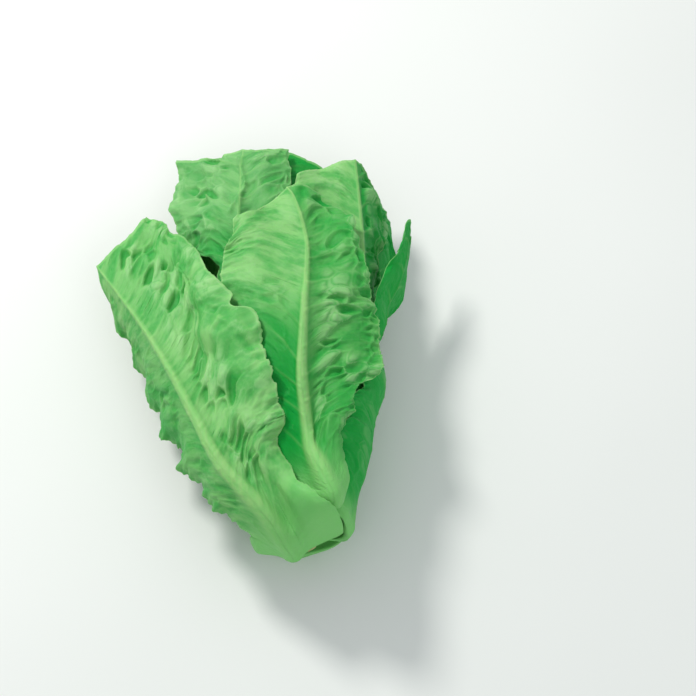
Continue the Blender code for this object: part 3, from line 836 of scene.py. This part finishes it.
def large_leaves():
    """The large leaves, in the order in which they lie from the heart outwards."""
    return [
        Leaf(
            "side_leaf_left",
            [(-12, -95, 43), (-21, -68, 45), (-27, -15, 46), (-32, 45, 46), (-42, 100, 42), (-52, 142, 38)],
            [182, 180, 174, 168, 162, 158],
            [16, 24, 30, 33, 30, 25], [16, 26, 36, 40, 36, 30],
            [6, 6], [76, 72, 70, 62, 48, 36], [6, 6], [76, 70, 62, 50, 34, 24],
            0.1, 2.5, 5.5, 0.6, 3.0, 8.0, "round", LAYER_GAP,
        ),
        Leaf(
            "under_leaf_right",
            [(9, -95, 36), (15, -68, 30), (19, -18, 26), (23, 40, 24), (35, 96, 25), (50, 140, 27)],
            [312, 312, 313, 316, 322, 328],
            [15, 26, 38, 42, 36, 30], [15, 25, 32, 34, 30, 25],
            [6, 6], [76, 70, 62, 50, 34, 22], [6, 6], [76, 74, 72, 66, 50, 34],
            0.1, 2.0, 6.0, 2.1, 2.4, 8.0, "round", LAYER_GAP,
        ),
        Leaf(
            "side_leaf_right",
            [(11, -91, 38), (20, -66, 39), (28, -14, 41), (46, 44, 40), (70, 100, 37), (78, 154, 32)],
            [326, 342, 364, 384, 396, 402],
            [15, 26, 36, 40, 34, 29], [15, 26, 36, 38, 34, 28],
            [6, 6], [70, 62, 50, 36, 22, 14], [6, 6], [74, 72, 68, 56, 36, 20],
            0.1, 3.5, 6.0, 3.4, 2.6, 8.0, "round", LAYER_GAP,
        ),
        Leaf(
            "top_leaf_middle",
            [(4, -78, 58), (5, -40, 66), (5, 10, 69), (5, 66, 69), (5, 128, 65), (5, 188, 56)],
            [92, 92, 92, 93, 94, 94],
            [10, 20, 32, 43, 45, 38], [10, 20, 32, 42, 44, 37],
            [6, 8], [52, 50, 40, 30, 26, 26], [6, 8], [52, 50, 44, 34, 26, 24],
            0.06, 4.5, 6.0, 1.2, 3.4, 8.0, "flat", LAYER_GAP,
        ),
        Leaf(
            "top_leaf_left",
            [(-6, -80, 57), (-10, -40, 65), (-14, 10, 68), (-18, 60, 69), (-20, 108, 68), (-17, 150, 63),
             (-10, 202, 49)],
            [98, 100, 102, 104, 104, 100],
            [11, 18, 22, 22, 55, 56], [11, 20, 28, 32, 36, 34],
            [8, 8, 8, 8, 8, 8], [54, 50, 44, 34, 24, 20], [8, 8, 14, 20, 26, 24], [46, 40, 30, 20, 12, 8],
            -0.03, 5.0, 6.5, 2.6, 3.2, 8.0, "flat", LAYER_GAP, -0.04,
        ),
        Leaf(
            "top_leaf_right",
            [(12, -78, 70), (25, -45, 71), (39, -5, 72), (54, 48, 70), (62, 108, 66), (64, 174, 56)],
            [86, 82, 77, 78, 84, 88],
            [11, 22, 36, 46, 48, 42], [10, 14, 18, 27, 33, 28],
            [4, 2], [40, 34, 24, 14, 10, 8], [10, 20, 30, 40, 44, 40], [54, 48, 44, 36, 30, 26],
            0.06, 3.5, 6.0, 0.2, 4.0, 9.0, "flat", LAYER_GAP,
        ),
        Leaf(
            "narrow_leaf_right",
            [(13, -90, 52), (22, -64, 54), (31, -14, 53), (58, 38, 51), (86, 82, 53), (97, 124, 56)],
            [32, 28, 22, 18, 18, 18],
            [12, 15, 17, 19, 18, 13], [12, 18, 22, 22, 18, 13],
            [4, 4], [60, 46, 34, 24, 14, 8], [4, 4], [60, 46, 34, 24, 14, 8],
            0.08, 1.8, 5.0, 1.0, 2.2, 6.0, "round", LAYER_GAP,
        ),
        Leaf(
            "outer_leaf_right",
            [(11, -92, 44), (19, -86, 45), (27, -72, 46), (33, -46, 47), (36, -14, 46), (38, 20, 44)],
            [6, 12, 20, 26, 30, 32],
            [18, 25, 26, 25, 22, 19], [18, 28, 33, 33, 27, 22],
            [6, 6], [66, 62, 56, 46, 34, 24], [6, 6], [70, 70, 66, 54, 38, 26],
            0.08, 2.0, 4.5, 4.4, 3.6, 9.0, "round", LAYER_GAP,
        ),
        Leaf(
            "under_leaf_left",
            [(-10, -96, 35), (-17, -72, 29), (-21, -20, 25), (-25, 38, 23), (-35, 92, 24), (-47, 136, 28)],
            [226, 226, 225, 222, 216, 210],
            [16, 24, 28, 29, 28, 24], [16, 27, 38, 42, 36, 30],
            [6, 6], [76, 74, 72, 66, 50, 34], [6, 6], [76, 70, 62, 50, 34, 20],
            0.1, 1.5, 6.0, 5.0, 2.6, 9.0, "round", LAYER_GAP,
        ),
        Leaf(
            "under_leaf_middle",
            [(0, -94, 30), (0, -82, 19), (0, -50, 6), (0, 20, 1), (0, 88, 4), (0, 144, 9)],
            [270, 270],
            [15, 23, 30, 32, 30, 25], [15, 23, 30, 32, 30, 25],
            [6, 5], [76, 68, 56, 46, 38, 30], [6, 5], [76, 68, 56, 46, 38, 30],
            0.1, 2.0, 5.5, 0.9, 2.0, 10.0, "round", UNDERSIDE_GAP,
        ),
        Leaf(
            "centre_leaf",
            [(23, -86, 60), (24, -80, 70), (20, -66, 80), (13, -40, 84), (12, 0, 86), (18, 46, 84),
             (24, 97, 78), (19, 134, 70), (12, 150, 63)],
            [76, 84, 90, 92, 94, 92],
            [18, 34, 50, 59, 59, 47], [18, 30, 54, 51, 38, 30],
            [18, 36, 42, 30, 12, 8], [46, 4, -14, -8, 4, 10],
            [20, 24, 20, 16, 14, 14], [46, 26, 4, 8, 16, 20],
            0.08, 3.5, 6.5, 2.2, 6.0, 11.0, "flat", LAYER_GAP,
        ),
        Leaf(
            "front_leaf",
            [(-2, -105, 49), (-9, -99.5, 68), (-23, -82, 83), (-44, -54, 88), (-59, -17, 85), (-74, 22, 78),
             (-93, 64, 67), (-127, 128, 47)],
            [90, 98, 104, 104, 104, 100],
            [20, 30, 43, 48, 40, 20], [16, 28, 49, 58, 70, 72, 72, 50],
            [14, 30, 36, 42, 50, 50], [50, 46, 36, 30, 24, 18], [4, 16, 18, 16, 14, 12], [20, 26, 4, 2, 4, 8],
            0.0, 4.5, 7.5, 0.4, 6.5, 12.0, "round", LAYER_GAP, 0.14,
        ),
    ]


# Each look's shade values put painted shade on the parts of its leaf that lie in shade.
LOOKS = {
    "side_leaf_left": Look(grid=HIDDEN_GRID),
    "under_leaf_right": Look(grid=HIDDEN_GRID),
    "side_leaf_right": Look(
        material="leaf_deep_and_shaded", pucker=(0.8, 0.8), rib_tint=0.2, tone=((0.6, 0.5), (0.8, 0.7)),
    ),
    "top_leaf_middle": Look(
        material="leaf_mid", pucker=(0.15, 0.15), rib_tint=0.4, frill=0.3, tone=((0.8, 0.7), (1.0, 0.9)),
    ),
    "top_leaf_left": Look(
        material="leaf_light", pucker=(0.9, 0.8), rib_share=(0.6, 0.4, 0.4), rib_tint=0.45,
        tone=((1.0, 1.0, 1.0, 0.9, 0.1, 0.0), (1.0, 1.0, 1.0, 0.6, 0.1, 0.2)), calm=(0.5, 0.5),
        cuts=((-1, 0.7, 0.08, -0.15),),
        creases=(
            (0.97, -0.05, 0.87, 0.12, 2.2, 1.6), (0.87, 0.12, 0.76, -0.12, 2.2, 1.6),
            (0.98, -0.55, 0.84, -0.42, 1.6, 1.5), (0.96, -0.35, 0.84, -0.42, 1.4, 1.3),
            (0.84, -0.42, 0.74, -0.3, 1.4, 1.6), (0.85, -0.18, 0.8, -0.1, -2.4, 3.0),
        ),
    ),
    "top_leaf_right": Look(
        material="leaf_mid", pucker=(0.65, 1.4), rib_share=(0.5, 0.4, 0.45), rib_tint=0.75,
        lobes=((22.0, 1.5, 1.5), (18.0, 2.0, 1.5)), teeth=0.8, calm=(0.6, 0.6),
        tone=((0.3, 0.1, 0.0, 0.0), (1.0, 1.0, 0.95, 0.85)),
    ),
    "narrow_leaf_right": Look(
        material="leaf_deep_and_shaded", pucker=(0.3, 0.3), lobes=((28.0, 0.8, 0.8), (28.0, 0.8, 0.8)),
        teeth=0.6, corner=(0.55, 0.55), rib_tint=0.1, frill=0.3, tone=((0.6, 0.3), (0.6, 0.6)),
    ),
    "outer_leaf_right": Look(
        material="leaf_deep_and_shaded", pucker=(0.5, 0.5), rib_tint=0.3, lobes=((15.0, 1.5, 1.5), (12.0, 2.0, 2.0)),
        tone=((0.5, 0.5), (0.3, 0.3)),
    ),
    "under_leaf_left": Look(grid=HIDDEN_GRID),
    "under_leaf_middle": Look(grid=HIDDEN_GRID),
    "centre_leaf": Look(
        pucker=(0.45, 1.3), rib_share=(0.75, 0.42, 0.34), rib_tint=0.85, corner=(0.05, 0.35),
        lobes=((24.0, 1.0, 2.0), (13.0, 2.4, 2.0)), teeth=1.4, cuts=((1, 0.34, 0.05, 0.2),),
        tone=((0.3, 1.0, 1.0, 0.8, 0.1, 0.0, 0.0), (0.7, 0.75, 0.65, 0.5, 0.5, 0.6, 0.6)),
        calm=(0.5, 0.3), blunt=6.0, even=(6, 6),
    ),
    "front_leaf": Look(
        pucker=(0.45, 1.25), rib_share=(0.5, 0.33, 0.32), rib_tint=0.75,
        lobes=((16.0, 5.0, 1.6), (15.0, 1.6, 0.5)), cuts=((1, 0.6, 0.02, 0.07), (1, 0.21, 0.08, -0.11)),
        creases=(
            (0.03, 0.3, 0.15, 0.42, 0.7, 1.4), (0.04, 0.5, 0.16, 0.62, -0.7, 1.4),
            (0.05, 0.62, 0.15, 0.74, 0.6, 1.2), (0.02, -0.35, 0.14, -0.4, 0.7, 1.6),
        ),
        tone=((0.2, 0.15, 0.35, 0.45, 0.3, 0.1, 0.1), (0.2, 0.1, 0.0, 0.0, 0.1, 0.25, 0.25)),
        calm=(0.3, 0.9), even=(4, 4),
    ),
}


def stem_radius(along):
    """The stem's radius at a share of its length: a cut butt that tapers into the heart."""
    return STEM_RADIUS * (1 - STEM_TAPER * along**0.8)


def pile_stem(piles):
    share, angle = np.meshgrid(np.linspace(0, 1, 120), np.linspace(0, 2 * math.pi, 180))
    radius = stem_radius(share)
    y = BUTT_Y + share * STEM_LENGTH
    around = np.stack([radius * np.cos(angle), y, AXIS_HEIGHT + radius * np.sin(angle)], axis=-1)
    for pile in piles.values():
        pile.add(around)


def shown_stem(material):
    """The cut stem: a finer round stalk whose butt is slightly hollowed, with its rings."""
    rings = [(0.0, k / BUTT_RINGS) for k in range(BUTT_RINGS + 1)]
    rings += [(0.004 + 0.996 * k / STEM_RINGS, 1.0) for k in range(1, STEM_RINGS + 1)]
    points, brown = [], []
    for along, share in rings:
        is_butt = along == 0.0
        for k in range(STEM_SIDES):
            angle = 2 * math.pi * k / STEM_SIDES
            wavy = 1 + 0.025 * math.sin(5 * angle + 1) + 0.015 * math.sin(11 * angle)
            radius = stem_radius(along) * share * wavy * (0.95 if is_butt else 1.0)
            dish = BUTT_HOLLOW * (1 - share**2) + 0.25 * math.sin(22 * share) if is_butt else 0.0
            y = BUTT_Y + along * STEM_LENGTH + dish
            points.append((radius * math.cos(angle), y, AXIS_HEIGHT + radius * math.sin(angle)))
            brown.append(0.35 + 0.5 * max(0.0, math.sin(9 * share)) if is_butt else 0.0)
    faces = []
    for ring in range(len(rings) - 1):
        for k in range(STEM_SIDES):
            a, b = ring * STEM_SIDES + k, ring * STEM_SIDES + (k + 1) % STEM_SIDES
            faces.append((b, a, a + STEM_SIDES, b + STEM_SIDES))
    last = (len(rings) - 1) * STEM_SIDES
    faces.append(tuple(reversed(range(last, last + STEM_SIDES))))
    made = add_piece("stem_shown", points, faces, material)
    add_mark(made, "rib", brown)
    return made


def area_light(name, place, size, watts, colour):
    data = bpy.data.lights.new(name, "AREA")
    data.shape, data.size = "DISK", size
    data.energy, data.color = watts, colour
    made = add_object(name, data)
    made.location = place
    aim = Vector(LIGHTS_AIM) - Vector(place)
    made.rotation_euler = aim.to_track_quat("-Z", "Y").to_euler()


def add_studio():
    """A pale floor under a pale sky, a main light from the tips' left and a weak broad one from the
    butt's right."""
    n = Nodes("floor")
    light, dark = (linear(*c) for c in FLOOR_COLOURS)
    n.link(n.mix(n.span(n.noise(3.0, 2.0), 0.3, 0.7), light, dark), n.shader.inputs["Base Color"])
    n.link(0.85, n.shader.inputs["Roughness"])
    mesh = bpy.data.meshes.new("floor")
    r = FLOOR_REACH
    mesh.from_pydata([(-r, -r, 0.0), (r, -r, 0.0), (r, r, 0.0), (-r, r, 0.0)], [], [(0, 1, 2, 3)])
    mesh.materials.append(n.material)
    add_object("floor", mesh)
    world = bpy.data.worlds.new("studio")
    world.use_nodes = True
    sky = world.node_tree.nodes["Background"]
    sky.inputs["Color"].default_value = SKY_COLOUR
    sky.inputs["Strength"].default_value = SKY_STRENGTH
    bpy.context.scene.world = world
    area_light("main_light", (-0.55, 0.8, 1.0), size=0.3, watts=13.0, colour=(1.0, 0.99, 0.96))
    area_light("weak_light", (0.5, -0.9, 1.2), size=1.0, watts=2.5, colour=(0.94, 0.98, 1.0))


def add_camera():
    a, e = math.radians(CAMERA_AZIMUTH), math.radians(CAMERA_ELEVATION)
    right = Vector((math.cos(a), math.sin(a), 0.0))
    up = Vector((-math.sin(a) * math.sin(e), math.cos(a) * math.sin(e), math.cos(e)))
    back = Vector((math.sin(a) * math.cos(e), -math.cos(a) * math.cos(e), math.sin(e)))
    data = bpy.data.cameras.new("camera")
    data.sensor_width = SENSOR_MM
    data.lens = SENSOR_MM * CAMERA_DISTANCE / (PICTURE_PIXELS * MM_PER_PIXEL)
    turn = Matrix((right, up, back)).transposed().to_4x4()
    camera = add_object("camera", data)
    camera.matrix_world = Matrix.Translation((Vector(CAMERA_TARGET) + CAMERA_DISTANCE * back) * MM) @ turn
    bpy.context.scene.camera = camera


def settle(piece, node):
    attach(piece, "root")
    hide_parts(node)


def main():
    bpy.context.scene.view_settings.view_transform = "Standard"
    add_camera()
    add_studio()
    for name, greens in LEAF_GREENS.items():
        leaf_material(name, greens, RIB_COLOUR, BASE_COLOUR, SHADE_COLOUR)
    leaf_material("leaf_heart", HEART_GREENS, HEART_CREAM, HEART_CREAM, HEART_SHADE)
    piles = {"round": Pile(True), "flat": Pile(False)}
    pile_stem(piles)
    settle(shown_stem(stem_material()), "stem")
    heart_look = Look(grid=HEART_GRID, material="leaf_heart", pucker=(0.35, 0.35))
    for n in range(HEART_LEAVES):
        leaf = heart_leaf(n)
        settle(shown_leaf(leaf, heart_look, lay(leaf, piles), piles, 10 + n), leaf.name)
    for n, leaf in enumerate(large_leaves()):
        look = LOOKS[leaf.name]
        settle(shown_leaf(leaf, look, lay(leaf, piles), piles, 30 + 7 * n), leaf.name)


main()
